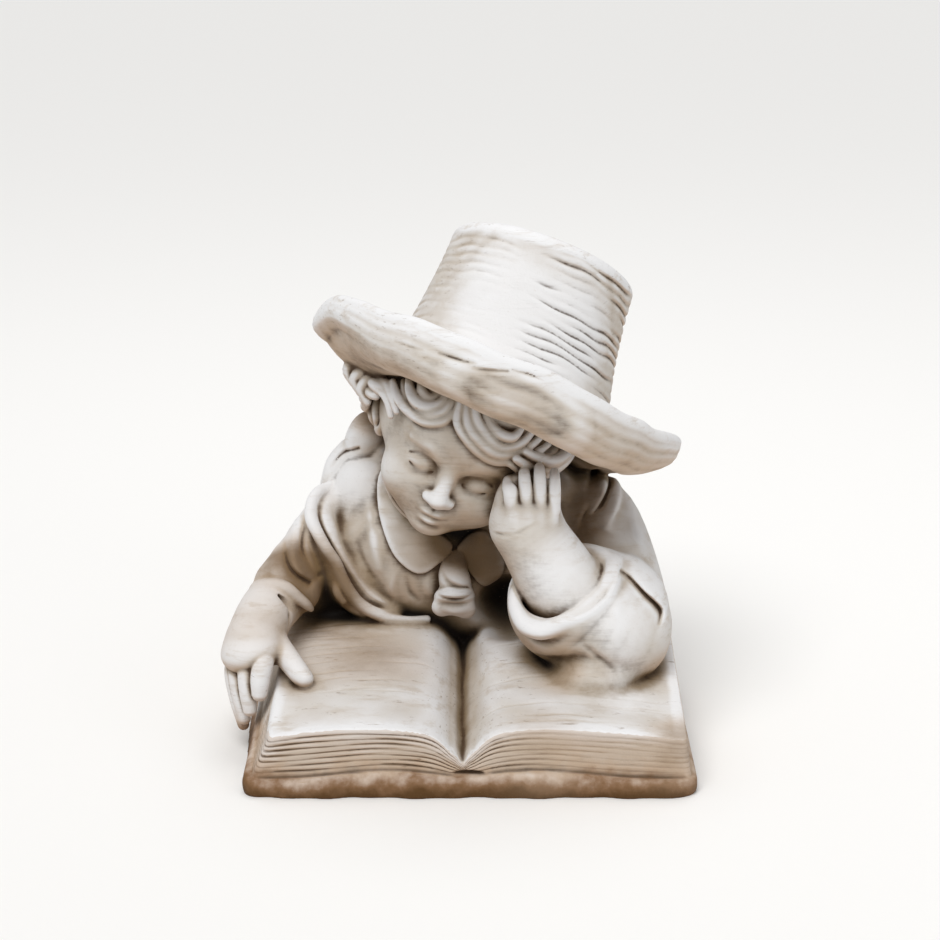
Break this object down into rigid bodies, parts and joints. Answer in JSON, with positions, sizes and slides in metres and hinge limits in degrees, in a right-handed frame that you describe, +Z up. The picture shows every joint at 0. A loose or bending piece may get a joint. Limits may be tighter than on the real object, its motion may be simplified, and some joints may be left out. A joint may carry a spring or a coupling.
{
  "type": "reading boy garden statue",
  "caption": "Garden statue cast in stone: a boy in a brimmed hat leans his cheek on one hand over an open book, flat underneath.",
  "frame": {"origin": "on the flat underside, below the spine of the open book", "axes": "+Z up, -Y the side that the boy faces, +X towards the boy's left, where his elbow rests on the page"},
  "size_m": [0.3085, 0.2983, 0.3415],
  "materials": {
    "cast_stone": "matte, whitewashed and worn, with brown dirt in the hollows"
  },
  "bodies": {
    "root": {"reading_boy": "cast_stone"}
  },
  "joints": []
}
